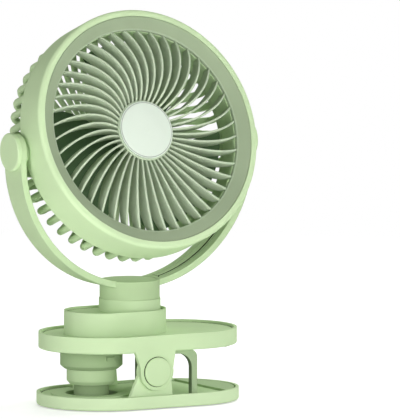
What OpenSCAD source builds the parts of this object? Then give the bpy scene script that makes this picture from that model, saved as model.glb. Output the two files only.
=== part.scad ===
// A rechargeable fan on a spring clip. The swivel axis is Z, the clip is long in X,
// and the head blows towards -Y. The origin is where the swivel axis meets the table.
// The head's pieces are drawn along their own axis and then set into the yoke.

/* [Clip] */
// Length of the lower jaw
jaw_len = 160.6; // [140:0.1:190]
// Width of the lower jaw
jaw_w = 98; // [90:1:120]
// Distance from the swivel axis to the middle of the jaws, towards the mouth
jaw_shift = 7.1; // [2:0.1:12]
// How far the upper jaw's edge lies inside the lower jaw's edge
upper_inset = 1.5; // [0.5:0.1:4]
// Height of the lower jaw's wall
lower_h = 9.6; // [8:0.1:16]
// Height of the upper jaw's wall
upper_h = 12.5; // [10:0.1:20]
// Free height between the closed jaws
jaw_gap = 32.8; // [30:0.1:45]
// Wall thickness of the jaws and of the battery housing
wall = 2.4; // [1.8:0.1:3.2]
// Thickness of the jaws' decks
deck_t = 2; // [1.6:0.1:3]
// Depth of the decks below their rims
rim_drop = 1.8; // [1:0.1:3]
// Radius of the jaws' outer edges
edge_r = 1.6; // [0.8:0.1:2]
// Height of the non-slip foot below the lower jaw
foot_out = 0.6; // [0.4:0.1:1.5]
// Depth of the foot's seat in the lower jaw
foot_seat = 1; // [0.6:0.1:1.4]
// Thickness of the grip pads above their decks
pad_t = 1.5; // [0.8:0.1:1.6]
// Length of the grip pads along the clip
pad_len = 22; // [14:1:30]

/* [Hinge] */
// Place of the hinge along the clip, from the swivel axis
hinge_x = -3; // [-6:0.5:0]
// Height of the hinge's axis above the lower jaw's rim
hinge_up = 18; // [16:0.1:20]
// Radius of the hinge pins
pin_r = 2.5; // [2:0.1:3.5]
// Radius of the ears' round ends
ear_r = 14; // [10:0.1:16]
// Thickness of each ear
ear_t = 3.4; // [2.5:0.1:4]
// Length of an ear's foot along the clip
ear_foot = 37; // [32:0.5:44]
// Radius of the caps over the pin
cap_r = 11.1; // [7:0.1:12]
// Height of those caps above the ears
cap_t = 2.4; // [1.5:0.1:4]
// Radius of the barrels that hold the pins beside the sleeves
spacer_r = 4.2; // [3.6:0.1:5.9]
// Length of those barrels
spacer_len = 16; // [12:0.5:17]
// Radial clearance of a running fit
run_fit = 0.05; // [0.02:0.01:0.1]
// Side clearance between pieces that turn against each other
side_gap = 0.4; // [0.3:0.05:0.8]

/* [Spring sleeves] */
// Distance from the hinge to the middle of the spring, towards the handle
spring_x = 30; // [29:0.5:34]
// Outer radius of the upper sleeve
sleeve_r = 23.5; // [22.5:0.1:23.6]
// Step in radius from each sleeve to the next
sleeve_step = 4.9; // [4.6:0.1:5.2]
// Wall thickness of the sleeves
sleeve_wall = 1.7; // [1.2:0.1:1.8]
// Length of the upper sleeve below the jaw
sleeve_h = 14.8; // [13:0.1:16]
// How far the middle sleeve shows below the upper one
sleeve_show = 11.7; // [9:0.1:13]
// Height of the bevel at a sleeve's lower end
sleeve_bevel = 2.6; // [1.5:0.1:3.5]
// Radius of the raised ring round the sleeves' well
well_ring_r = 30.5; // [27:0.5:34]
// Radius of the spring's wire
wire_r = 0.9; // [0.6:0.1:1.1]
// Mean radius of the spring
coil_r = 9; // [7:0.5:9.5]
// Turns of the spring
coil_turns = 7; // [5:1:8]

/* [Stop arms] */
// Distance from the swivel axis to the arms' near side
stop_x = 29.1; // [26:0.1:34]
// Thickness of the arms
stop_t = 4.7; // [3.5:0.1:5.5]
// Thickness of the arms' upper ends under the jaw
stop_top_t = 2.8; // [2:0.1:4]
// Outer radius of the arms' bend
stop_bend = 6; // [4:0.5:9]
// Inner radius of the arms' bend
stop_hollow = 11; // [6:0.5:12]

/* [Battery housing] */
// Length of the battery housing
house_len = 80; // [74:1:90]
// Width of the battery housing
house_w = 54.8; // [53:0.2:62]
// Height of the housing above the upper jaw's rim
house_h = 16.2; // [15.5:0.1:24]
// Radius of a battery cell
cell_r = 9.2; // [7:0.1:9.2]
// Length of a battery cell
cell_len = 50; // [40:1:56]
// Radius of the collar under the neck
collar_r = 23.2; // [21:0.1:26]
// Height of the collar above the housing
collar_h = 7.7; // [4:0.1:12]
// Radius of the power button
button_r = 4.2; // [3:0.1:5]
// Travel of the power button
button_travel = 1; // [0.6:0.1:1.5]

/* [Neck and yoke] */
// Radius of the neck
neck_r = 22.6; // [18:0.1:24]
// Height of the neck
neck_h = 13.9; // [11:0.1:22]
// Gap between the collar and the neck
swivel_gap = 0.1; // [0.1:0.05:0.6]
// Radius of the hollow swivel spigot
spigot_r = 9; // [7:0.1:11]
// Width of the yoke, front to back
yoke_w = 25; // [20:0.5:28]
// Thickness of the yoke's arms
yoke_t = 4.8; // [4:0.1:7]
// Gap between the head and the yoke's arms
arm_gap = 2.9; // [2.4:0.1:4]
// Straight length of the arms between the bend and the tilt axis
arm_rise = 6.9; // [3:0.1:14]
// Thickness of the cover strip on the yoke's inside
strip_t = 1.2; // [0.8:0.1:1.6]
// How far the cover strip lies below the yoke's inside
strip_sink = 0.4; // [0:0.1:0.8]
// Margin of the yoke on each side of the cover strip
strip_edge = 7.2; // [2:0.1:8]
// Radius of the round knobs
knob_r = 14.4; // [10:0.1:16]
// Height of the knobs above the yoke's arms
knob_h = 3.4; // [2:0.1:12]
// Radius of the tilt pins
tilt_pin_r = 4; // [3:0.1:5]

/* [Head] */
// Tilt of the head at rest, upwards
rest_tilt = 19.5; // [0:0.5:30]
// Outer radius of the front housing
head_r = 92.5; // [80:0.5:110]
// Depth of the front housing in front of the tilt axis
head_front = 32.7; // [30:0.1:40]
// Length of the front housing's outer wall
head_len = 30.7; // [27:0.1:33]
// Height of the head's axis above the tilt axis
head_rise = 4.7; // [0:0.1:6]
// Wall thickness of the head
head_wall = 2.2; // [1.8:0.1:3]
// Radius of the housing's rounded front edge
lip_r = 2.6; // [2:0.1:4]
// Width of the rim between the housing's outside and the opening in front of the vanes
rim_w = 14.8; // [13.5:0.1:22]
// Depth of the cone between the front edge and the opening
cone_depth = 5; // [3:0.1:8]
// Radius of the hub cap
hub_r = 22; // [18:0.1:26]
// Height of the hub cap's crown
hub_crown = 1.6; // [0.5:0.1:4]

/* [Vanes] */
// Number of front vanes
vane_count = 44; // [24:1:48]
// Thickness of a front vane
vane_t = 1.4; // [1:0.1:2]
// Angle that a vane sweeps from the hub to the opening
vane_sweep = 11; // [0:1:25]
// Bow of a vane away from a straight line
vane_bow = 6; // [2:0.5:9]
// Height of the arch of the vanes' front edges
vane_arch = 8; // [3:0.5:12]
// Depth of a vane at the opening
vane_depth = 7.5; // [5:0.1:9]

/* [Rear cage] */
// Number of rear ribs
rib_count = 50; // [30:1:54]
// Thickness of a rear rib at the edge
rib_t = 3.8; // [2:0.1:4.2]
// Thickness of a rear rib at the rear plate
rib_root_t = 1.8; // [1.2:0.1:2]
// Depth of a rear rib
rib_depth = 6; // [5:0.1:7]
// Depth of the cage behind the tilt axis
cage_back = 27; // [26:0.1:36]
// Radius of the ribs' rounded corners
cage_corner = 9; // [6:0.1:12]
// How far the cage's middle stands behind its edge
cage_dome = 4; // [1:0.1:8]
// Angle that a rib sweeps from the middle to the edge
rib_sweep = 16; // [0:1:25]
// Bow of a rib away from a straight line
rib_bow = 5; // [2:0.5:9]
// Radius of the rear plate
rear_plate_r = 25; // [22:0.5:30]

/* [Impeller and motor] */
// Number of blades
blade_count = 3; // [3:1:5]
// Gap between the blades' tips and the duct
tip_gap = 5.7; // [2:0.1:10]
// Angle that a blade covers at its tip
blade_angle = 88; // [50:1:100]
// Height of a blade along the axis
blade_h = 25; // [14:0.5:27]
// Thickness of a blade
blade_t = 1.6; // [1.2:0.1:2.4]
// Radius of the impeller's hub
impeller_hub_r = 19; // [17:0.1:20]
// Radius of the motor
motor_r = 14; // [12:0.1:15]
// Length of the motor
motor_len = 21; // [16:0.5:22]
// Radius of the motor's shaft
shaft_r = 1.5; // [1:0.1:2.5]

/* [Hidden] */
$fn = 96;
eps = 0.01;
// Jaws
jaw_r = jaw_w / 2;
upper_r = jaw_r - upper_inset;
jaw_span = jaw_len - jaw_w;
z_low = foot_out;
z_low_top = z_low + lower_h;
z_low_deck = z_low_top - rim_drop;
z_up = z_low_top + jaw_gap;
z_up_top = z_up + upper_h;
z_up_deck = z_up_top - rim_drop;
deck_fit = 0.2;
foot_margin = 7;
mouth_tip = jaw_shift + jaw_span / 2 + upper_r - wall - deck_fit;
// Hinge
hinge_z = z_low_top + hinge_up;
ear_out = upper_r;
ear_in = ear_out - ear_t - side_gap;
spacer_end = ear_in - ear_t - side_gap;
spacer_wall = 1.7;
spacer_flange = 1.8;
low_ear_shift = -4;
// Sleeves
well_x = hinge_x - spring_x;
mid_r = sleeve_r - sleeve_step;
low_r = mid_r - sleeve_step - 0.5;
sleeve_z = z_up - sleeve_h;
mid_z = sleeve_z - sleeve_show;
lip_fit = 0.9;
flange_t = 1.5;
well_r = mid_r + 1.2;
// Battery housing
house_r = house_w / 2;
house_span = house_len - house_w;
z_house = z_up_top + house_h;
z_lid = z_house - rim_drop;
z_collar = z_house + collar_h;
z_panel = (z_up_top + z_lid - deck_t) / 2;
button_x = -8;
port_x = -20;
port_r = 1.6;
port_span = 5.8;
board_x = port_x - 8;
board_y = house_r - wall - 4.6;
board_len = 32;
board_t = 1.6;
board_z = z_up_top + 2.5;
board_h = z_lid - deck_t - board_z - 0.8;
collar_t = 4;
nut_wall = 3;
nut_h = 3.5;
washer_w = 5.5;
washer_h = 1.5;
// Screws of the jaws
screw_r = 1.2;
screw_head_r = 2.8;
screw_head_t = 1.5;
screw_y = jaw_r - 20;
lower_screw_x = 22;
upper_screw_x = 20;
mouth_screw_x = 8;
// Neck and yoke
z_neck = z_collar + swivel_gap;
spigot_z = z_collar - collar_t - swivel_gap - washer_h - nut_h - 0.9;
z_neck_top = z_neck + neck_h;
yoke_ri = head_r + arm_gap;
yoke_ro = yoke_ri + yoke_t;
flat_rise = 1.5;
z_disc = z_neck_top - yoke_t - flat_rise - 0.4;
cover_r = neck_r - 3;
strip_fit = 0.25;
z_yoke = z_neck_top - flat_rise + yoke_ri;
z_pivot = z_yoke + arm_rise;
// Head, along its own axis
z_rear = head_front - head_len;
lip_w = 5.2;
lip_in = head_r - lip_w;
mouth_r = head_r - rim_w;
duct_r = mouth_r - 0.5;
web_z = head_front - cone_depth - 3.2;
vane_back = head_front - cone_depth - vane_depth;
hub_ring_r = hub_r + 1.2;
vane_mid_r = (hub_ring_r + mouth_r) / 2;
vane_front = head_front - cone_depth;
vane_chord = mouth_r - hub_ring_r;
arch_r = (vane_chord * vane_chord / 4 + vane_arch * vane_arch) / (2 * vane_arch);
cage_r = head_r - head_wall - 0.3;
boss_wall = 5.5;
boss_r = tilt_pin_r + boss_wall;
boss_len = 9.5;
boss_out = 0.3;
tilt_pin_in = 8;
shell_fit = 0.3;
cage_screw_r = 1.1;
cage_head_r = 2.3;
cage_head_t = 1.2;
cage_screw_len = 12;
cage_screw_at = (duct_r + cage_r - rib_depth) / 2;
cage_screw_places = [for (a = [45, 135, 225, 315]) cage_screw_at * [cos(a), sin(a)]];
ring_t = 3.7;
z_ring = z_rear + ring_t;
plate_z = -cage_back - cage_dome;
motor_z = plate_z + 2.4;
hub_top = vane_front + 1.2;

// A flat stadium shape, long in X
module stadium(r, span) {
    for (s = [-1, 1]) translate([s * span / 2, 0]) circle(r);
    square([span, 2 * r], center = true);
}

// An upright plate of stadium shape
module slab(r, span, z0, z1, x = 0) {
    translate([x, 0, z0]) linear_extrude(z1 - z0) stadium(r, span);
}

// A stadium slab whose lower outer edge is rounded with the radius e
module round_slab(r, span, z0, z1, e, x = 0) {
    translate([x, 0, z0]) {
        for (s = [0, 1]) rotate([0, 0, 180 * s]) {
            translate([span / 2, 0, 0]) rotate([0, 0, -90]) rotate_extrude(angle = 180)
                edge_profile(r, z1 - z0, e);
        }
        rotate([90, 0, 90]) linear_extrude(span, center = true) {
            edge_profile(r, z1 - z0, e);
            mirror([1, 0]) edge_profile(r, z1 - z0, e);
        }
    }
}

// Half of a slab's cross-section
module edge_profile(r, h, e) {
    translate([0, e]) square([r, h - e]);
    square([r - e, e + eps]);
    translate([r - e, e]) circle(e, $fn = 32);
}

// A disc whose far outer edge is rounded with the radius e
module rounded_disc(r, h, e) {
    rotate_extrude() translate([0, h]) mirror([0, 1]) edge_profile(r, h, e);
}

// A solid cylinder along Y between two places
module y_bar(r, y0, y1, x = 0, z = 0) {
    translate([x, y1, z]) rotate([90, 0, 0]) cylinder(r = r, h = y1 - y0);
}

// The same cylinder on both sides of the middle
module y_pair(r, y0, y1, x, z) {
    y_bar(r, y0, y1, x, z);
    y_bar(r, -y1, -y0, x, z);
}

// The outline of an ear: a round end at the hinge and a foot of length w at the height dz
module ear_outline(r, w, dz, shift) {
    circle(r);
    reach = abs(dz);
    side = dz > 0 ? 1 : -1;
    polygon([
        [-r * 0.985, side * r * 0.17], [-w / 2 + shift, side * reach],
        [w / 2 + shift, side * reach], [r * 0.985, side * r * 0.17]
    ]);
}

// Both ears of a jaw, from the hinge to the height z, between the half-widths y0 and y1
module ears(y0, y1, z, w, shift) {
    for (s = [-1, 1]) translate([hinge_x, s * (y0 + y1) / 2, hinge_z]) rotate([90, 0, 0])
        difference() {
            linear_extrude(y1 - y0, center = true) ear_outline(ear_r, w, z - hinge_z, shift);
            cylinder(r = pin_r + run_fit, h = ear_t + 2, center = true);
        }
}

// Places of the screws that hold a jaw's deck, with the handle's pair at the distance back
// behind the middle of the jaw's round end
function deck_screw_places(back) = [
    for (x = [jaw_shift - jaw_span / 2 - back, jaw_shift + jaw_span / 2 + mouth_screw_x], s = [-1, 1])
        [x, s * screw_y]
];

// Holes through a jaw's floor at z for those screws: a seat for the head, then the shank
module screw_ways(places, z, seat) {
    for (p = places) translate([p[0], p[1], z]) {
        translate([0, 0, -1]) cylinder(r = screw_head_r + 0.3, h = 1 + seat);
        cylinder(r = screw_r + 0.5, h = upper_h);
    }
}

// Posts from a jaw's floor at z0 up to its deck at z1
module screw_posts(places, z0, z1) {
    for (p = places) translate([p[0], p[1], z0 - eps]) difference() {
        cylinder(r = screw_r + 2.2, h = z1 - z0 + eps);
        translate([0, 0, -1]) cylinder(r = screw_r + 0.5, h = z1 - z0 + 2);
    }
}

// Blind holes from z up to top for the screws' threads
module screw_holes(places, z, top) {
    for (p = places) translate([p[0], p[1], z]) cylinder(r = screw_r, h = top - z);
}

// Screws whose heads start at z, with shanks that end at the height top
module screws(places, z, top) {
    for (p = places) translate([p[0], p[1], z]) {
        cylinder(r = screw_head_r, h = screw_head_t);
        translate([0, 0, screw_head_t - eps]) cylinder(r = screw_r, h = top - z - screw_head_t + eps);
    }
}

module lower_jaw() {
    color("#c4dea9") {
        difference() {
            round_slab(jaw_r, jaw_span, z_low, z_low_top, edge_r, jaw_shift);
            slab(jaw_r - wall, jaw_span, z_low + wall, z_low_top + 1, jaw_shift);
            slab(jaw_r - foot_margin, jaw_span, z_low - 1, z_low + foot_seat, jaw_shift);
            screw_ways(deck_screw_places(lower_screw_x), z_low, foot_seat);
        }
        screw_posts(deck_screw_places(lower_screw_x), z_low + wall, z_low_deck - deck_t);
        difference() {
            ears(ear_in - ear_t, ear_in, z_low + wall - eps, ear_foot + 3, low_ear_shift);
            slab(jaw_r, jaw_span, z_low - 1, z_low + wall - eps, jaw_shift);
        }
        translate([well_x, 0, z_low + wall - eps]) difference() {
            cylinder(r = coil_r - wire_r - 0.4, h = 2);
            cylinder(r = coil_r - wire_r - 2.2, h = 3);
        }
    }
}

module lower_deck() {
    color("#b3cd98") difference() {
        union() {
            slab(jaw_r - wall - deck_fit, jaw_span, z_low_deck - deck_t, z_low_deck, jaw_shift);
            translate([well_x, 0, z_low_deck - deck_t]) cylinder(r = well_ring_r, h = deck_t + 1.1);
        }
        translate([well_x, 0, z_low]) cylinder(r = well_r, h = lower_h + 2);
        for (s = [-1, 1]) translate([hinge_x + low_ear_shift, s * (ear_in - ear_t / 2), z_low_deck])
            cube([ear_foot + 3.6, ear_t + 2 * deck_fit, 8], center = true);
        screw_holes(deck_screw_places(lower_screw_x), z_low, z_low_deck - 1);
    }
}

// The foot sits in the lower jaw's underside, with two rows of short grip slots
module foot_pad() {
    slot_l = 9;
    slot_w = 2;
    slot_pitch = 12;
    slot_y = 20;
    color("#a9c090") difference() {
        slab(jaw_r - foot_margin - deck_fit, jaw_span, 0, z_low + foot_seat, jaw_shift);
        for (i = [-5:5], j = [-1, 1])
            translate([jaw_shift + i * slot_pitch - slot_l / 2, j * slot_y - slot_w / 2, -1])
                cube([slot_l, slot_w, 1 + foot_out]);
        for (p = deck_screw_places(lower_screw_x)) translate([p[0], p[1], 0])
            cylinder(r = screw_head_r + 0.3, h = z_low_top);
    }
}

module deck_screws() {
    color("#8f9499") screws(deck_screw_places(lower_screw_x), z_low + foot_seat - screw_head_t, z_low_deck - 1);
}

// The part of a deck's outline within pad_len of the mouth's tip
module grip_outline(r) {
    intersection() {
        translate([jaw_shift, 0]) stadium(r, jaw_span);
        translate([mouth_tip - pad_len, -r]) square([pad_len + 2, 2 * r]);
    }
}

module lower_grip() {
    color("#93ab7c") translate([0, 0, z_low_deck]) linear_extrude(pad_t)
        grip_outline(jaw_r - wall - deck_fit - 1);
}

module upper_grip() {
    color("#93ab7c") translate([0, 0, z_up - pad_t]) linear_extrude(pad_t)
        grip_outline(upper_r - wall - deck_fit - 1);
}

// Cross-section of a spring sleeve: a tube of outer radius r from z0 to z1, drawn in to a lip
// with the bore lip below, and with an outward flange of radius top at its upper end
module sleeve_profile(r, z0, z1, lip, top) {
    polygon([
        [lip, z0], [lip + 0.9, z0], [r, z0 + sleeve_bevel], [r, z1 - flange_t],
        [max(top, r), z1 - flange_t], [max(top, r), z1], [r - sleeve_wall, z1],
        [r - sleeve_wall, z0 + sleeve_bevel], [lip, z0 + sleeve_bevel - 0.6]
    ]);
}

module upper_sleeve() {
    color("#b7d09c") translate([well_x, 0, 0]) {
        rotate_extrude() sleeve_profile(sleeve_r, sleeve_z, z_up, mid_r + lip_fit, sleeve_r);
        // a small catch on each side
        for (a = [8, 188]) rotate([0, 0, a]) translate([0, -sleeve_r, z_up - 6])
            cube([7.4, 1.6, 2.8], center = true);
    }
}

module middle_sleeve() {
    color("#adc692") translate([well_x, 0, 0]) rotate_extrude()
        sleeve_profile(mid_r, mid_z, sleeve_z + sleeve_bevel + 0.3 + flange_t, low_r + 2.4, mid_r + 2);
}

module lower_sleeve() {
    color("#a3bc89") translate([well_x, 0, 0]) difference() {
        union() {
            translate([0, 0, z_low + wall]) cylinder(r = low_r, h = mid_z + sleeve_bevel + 2 - z_low - wall);
            translate([0, 0, z_low + wall]) cylinder(r = low_r + 3, h = flange_t);
            translate([0, 0, mid_z + sleeve_bevel + 0.3]) cylinder(r = low_r + 1.4, h = flange_t);
        }
        translate([0, 0, z_low]) cylinder(r = low_r - sleeve_wall, h = z_up);
    }
}

// Middle line of the spring: closed end turns that ease into an even pitch
coil_z0 = z_low + wall + wire_r;
coil_z1 = z_up - wire_r - 0.3;
coil_end = 2 * wire_r + 0.5;
function coil_rise(t) = t < 1 ? coil_end * t
    : t > coil_turns - 1 ? coil_z1 - coil_z0 - coil_end * (coil_turns - t)
    : coil_end + (coil_z1 - coil_z0 - 2 * coil_end) * (t - 1) / (coil_turns - 2);
function coil_point(t, a) = [
    (coil_r + wire_r * cos(a)) * cos(360 * t),
    (coil_r + wire_r * cos(a)) * sin(360 * t),
    coil_z0 + coil_rise(t) + wire_r * sin(a)
];
coil_rings = 10;
coil_sides = 6;

// One unbroken tube along the spring's middle line
module clip_spring() {
    steps = coil_turns * coil_rings;
    points = [for (i = [0:steps], j = [0:coil_sides - 1])
        coil_point(i / coil_rings, 360 * j / coil_sides)];
    skin = [for (i = [0:steps - 1], j = [0:coil_sides - 1], k = [0, 1])
        let (a = i * coil_sides + j, b = i * coil_sides + (j + 1) % coil_sides)
        k == 0 ? [a, a + coil_sides, b] : [b, a + coil_sides, b + coil_sides]];
    ends = [for (j = [1:coil_sides - 2], k = [0, 1])
        k == 0 ? [0, j, j + 1] : [steps * coil_sides, steps * coil_sides + j + 1, steps * coil_sides + j]];
    color("#b9bcc0") translate([well_x, 0, 0]) polyhedron(points, concat(skin, ends));
    gaps = [for (i = [0:steps], j = [i + coil_rings - 2:1:min(steps, i + coil_rings + 2)])
        norm(coil_point(i / coil_rings, 0) - coil_point(j / coil_rings, 0)) - 2 * wire_r];
    echo(least_spring_gap = min(gaps));
}

// A short pin through each pair of ears
module hinge_pin() {
    color("#a8adb2") y_pair(pin_r, spacer_end - spacer_len + spacer_wall, ear_out - 0.4, hinge_x, hinge_z);
}

// Closed barrels with a flange, which grip the pins' inner ends beside the sleeves
module hinge_spacer() {
    y0 = spacer_end - spacer_len;
    color("#a3bc89") difference() {
        union() {
            y_pair(spacer_r, y0, spacer_end, hinge_x, hinge_z);
            y_pair(spacer_r + spacer_wall, spacer_end - spacer_flange, spacer_end, hinge_x, hinge_z);
        }
        y_pair(pin_r + run_fit, y0 + spacer_wall - run_fit, ear_out, hinge_x, hinge_z);
    }
}

// Round caps that cover the pins' outer ends
module pin_caps() {
    color("#c9e3ae") for (s = [-1, 1]) translate([hinge_x, s * ear_out, hinge_z]) rotate([-90 * s, 0, 0])
        rounded_disc(cap_r, cap_t, cap_t / 3);
}

module upper_jaw() {
    color("#c4dea9") {
        difference() {
            round_slab(upper_r, jaw_span, z_up, z_up_top, edge_r, jaw_shift);
            slab(upper_r - wall, jaw_span, z_up + wall, z_up_top + 1, jaw_shift);
            screw_ways(deck_screw_places(upper_screw_x), z_up, screw_head_t + deck_fit);
        }
        screw_posts(deck_screw_places(upper_screw_x), z_up + wall, z_up_deck - deck_t);
        ears(ear_out - ear_t, ear_out, z_up + edge_r + 0.4, ear_foot - 2, -1.5);
    }
}

module jaw_screws() {
    color("#8f9499") screws(deck_screw_places(upper_screw_x), z_up + deck_fit, z_up_deck - 1);
}

// A rectangle between two corners, rounded at the second one with the radius r
module elbow(x0, y0, x1, y1, r) {
    translate([x0, y0]) square([x1 - x0 - r, y1 - y0]);
    translate([x0, y0]) square([x1 - x0, y1 - y0 - r]);
    translate([x1 - r, y1 - r]) circle(r);
}

// Two arms under the upper jaw that rest on the lower deck and keep the mouth open
module stop_arms() {
    y0 = ear_in - side_gap - stop_t;
    x0 = hinge_x + ear_r + 1;
    foot = z_low_deck + 0.3;
    color("#b3cd98") for (s = [-1, 1])
        translate([0, s * (y0 + stop_t / 2), 0]) rotate([90, 0, 0]) linear_extrude(stop_t, center = true)
            difference() {
                elbow(x0, foot, stop_x + stop_t, z_up, stop_bend);
                elbow(x0 - 1, foot - 1, stop_x, z_up - stop_top_t, stop_hollow);
            }
}

// The deck of the upper jaw and the raised housing on it are one moulding
module battery_housing() {
    color("#bcd6a1") difference() {
        union() {
            slab(upper_r - wall - deck_fit, jaw_span, z_up_deck - deck_t, z_up_deck, jaw_shift);
            slab(house_r, house_span, z_up_deck - eps, z_house, -house_span / 2);
        }
        slab(house_r - wall, house_span, z_up, z_lid - deck_t, -house_span / 2);
        slab(house_r - wall / 2, house_span, z_lid - deck_t, z_house + 1, -house_span / 2);
        screw_holes(deck_screw_places(upper_screw_x), z_up, z_up_deck - 1);
        translate([button_x, house_r - wall - 1, z_panel]) rotate([-90, 0, 0])
            cylinder(r = button_r + 0.3, h = wall + 2);
        translate([port_x, house_r, z_panel]) port_shape(wall * 2 + 2, 0.2);
    }
    color("#bcd6a1") for (x = [board_x, board_x + board_len - 3])
        translate([x, board_y + board_t, board_z]) cube([3, house_r - wall + 0.5 - board_y - board_t, board_h]);
}

// Outline of the charging socket, a flat stadium that goes through the wall along Y
module port_shape(depth, grow) {
    rotate([90, 0, 0]) linear_extrude(depth, center = true) stadium(port_r + grow, port_span);
}

// The housing's top panel, with the collar that carries the neck
module housing_lid() {
    color("#bcd6a1") difference() {
        union() {
            slab(house_r - wall / 2 - deck_fit / 2, house_span, z_lid - deck_t, z_lid, -house_span / 2);
            cylinder(r = collar_r, h = z_collar);
        }
        translate([0, 0, -1]) cylinder(r = collar_r + 1, h = z_lid - deck_t + 1);
        translate([0, 0, z_lid - deck_t - 1])
            cylinder(r = collar_r - wall, h = z_collar - collar_t - z_lid + deck_t + 1);
        cylinder(r = spigot_r + run_fit, h = z_collar + 1);
    }
}

// Two cells side by side on the floor of the upper jaw
module battery_cells() {
    nub = 1;
    color("#4f7fb5") for (s = [-1, 1])
        translate([-(house_span + cell_len + nub) / 2, s * (cell_r + 0.5), z_up + wall + cell_r + 0.2])
            rotate([0, 90, 0]) {
                cylinder(r = cell_r, h = cell_len);
                translate([0, 0, cell_len - eps]) cylinder(r = cell_r * 0.28, h = nub);
            }
}

// The board stands on edge behind the wall, on two posts of the housing
module control_board() {
    color("#2f6b46") translate([board_x, board_y, board_z]) cube([board_len, board_t, board_h]);
}

// The metal shell of the charging socket, soldered to the board
module charge_port() {
    socket = house_r - 1 - board_y - board_t;
    color("#9a9da1") translate([port_x, board_y + board_t + socket / 2, z_panel])
        difference() {
            port_shape(socket, 0);
            translate([0, 1, 0]) port_shape(socket, -0.4);
        }
}

module power_button() {
    y0 = house_r - wall - 1.7;
    color("#d6ecbe") translate([button_x, y0, z_panel]) rotate([-90, 0, 0]) {
        cylinder(r = button_r + 1.2, h = 1.4);
        cylinder(r = button_r, h = house_r - y0 + button_travel + 0.2);
    }
}

// A washer and nut on the spigot, under the collar's top
module swivel_nut() {
    top = z_collar - collar_t - swivel_gap;
    color("#a8adb2") difference() {
        union() {
            translate([0, 0, top - washer_h]) cylinder(r = spigot_r + washer_w, h = washer_h);
            translate([0, 0, top - washer_h - nut_h]) cylinder(r = spigot_r + nut_wall, h = nut_h + eps);
        }
        translate([0, 0, spigot_z]) cylinder(r = spigot_r, h = z_collar);
    }
}

module neck() {
    color("#bcd6a1") difference() {
        union() {
            translate([0, 0, z_neck]) cylinder(r = neck_r, h = z_disc - z_neck);
            translate([0, 0, spigot_z]) cylinder(r = spigot_r, h = z_neck + 1 - spigot_z);
        }
        translate([0, 0, spigot_z - 1]) cylinder(r = spigot_r - 2.5, h = z_neck_top - spigot_z);
        translate([0, 0, z_neck + 2.5]) difference() {
            cylinder(r = neck_r - wall, h = neck_h);
            cylinder(r = spigot_r, h = neck_h);
        }
    }
}

// Outline of the yoke seen from the front: a half ring with two straight ends
module yoke_outline(r_in, r_out, rise) {
    difference() {
        union() {
            circle(r_out, $fn = 160);
            translate([-r_out, 0]) square([2 * r_out, rise]);
        }
        circle(r_in, $fn = 160);
        translate([-r_in, 0]) square([2 * r_in, rise + 1]);
        translate([-r_out - 1, rise]) square([2 * r_out + 2, r_out]);
    }
}

module yoke() {
    color("#b9d39e") difference() {
        union() {
            translate([0, 0, z_yoke]) rotate([90, 0, 0]) linear_extrude(yoke_w, center = true)
                yoke_outline(yoke_ri, yoke_ro, arm_rise);
            for (s = [-1, 1]) translate([s * (yoke_ri + yoke_t / 2), 0, z_pivot]) rotate([0, 90, 0])
                cylinder(r = knob_r - 0.8, h = yoke_t, center = true);
            translate([0, 0, z_disc]) rounded_disc(neck_r, z_neck_top - z_disc, 0.8);
        }
        strip_space(-1, strip_sink + strip_t, strip_fit);
        translate([0, 0, z_neck_top - strip_t]) cylinder(r = cover_r + deck_fit / 2, h = strip_t + 1);
        translate([0, 0, z_pivot]) rotate([0, 90, 0])
            cylinder(r = tilt_pin_r + run_fit, h = 3 * yoke_ro, center = true);
        translate([0, 0, z_disc - 1]) cylinder(r = spigot_r - 2.5, h = z_neck_top - z_disc + 2);
    }
}

// The shallow channels along the yoke's inside, from the depth d0 to the depth d1
module strip_space(d0, d1, grow) {
    stop = knob_r + 3 - grow;
    difference() {
        translate([0, 0, z_yoke]) rotate([90, 0, 0])
            linear_extrude(yoke_w - 2 * strip_edge + 2 * grow, center = true) difference() {
                yoke_outline(yoke_ri + d0, yoke_ri + d1, arm_rise);
                translate([-2 * yoke_ro, arm_rise - stop]) square([4 * yoke_ro, 2 * stop]);
            }
        translate([0, 0, z_neck_top - yoke_t]) cylinder(r = neck_r, h = 2 * yoke_t);
    }
}

module yoke_strips() {
    color("#a9c38f") strip_space(strip_sink, strip_sink + strip_t, 0);
}

// The round cover that closes the top of the hollow neck
module neck_cover() {
    color("#b4ce99") translate([0, 0, z_neck_top - strip_t]) cylinder(r = cover_r, h = strip_t);
}

module knobs() {
    color("#c9e3ae") for (s = [-1, 1]) translate([s * yoke_ro, 0, z_pivot]) rotate([0, 90 * s, 0])
        rounded_disc(knob_r, knob_h, knob_h / 3);
}

module tilt_pins() {
    color("#a8adb2") for (s = [-1, 1]) translate([s * (head_r - tilt_pin_in), 0, z_pivot])
        rotate([0, 90 * s, 0]) cylinder(r = tilt_pin_r, h = tilt_pin_in + arm_gap + yoke_t - 0.3);
}

module tilt_washers() {
    color("#8ea579") for (s = [-1, 1]) translate([s * (head_r + boss_out), 0, z_pivot]) rotate([0, 90 * s, 0])
        difference() {
            cylinder(r = boss_r - 0.5, h = arm_gap - boss_out - 0.3);
            translate([0, 0, -1]) cylinder(r = tilt_pin_r + run_fit, h = arm_gap + 2);
        }
}

// Sets a piece drawn along the head's axis into the yoke at the rest tilt
module in_head() {
    translate([0, 0, z_pivot]) rotate([90 - rest_tilt, 0, 0]) translate([0, head_rise, 0]) children();
}

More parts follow.
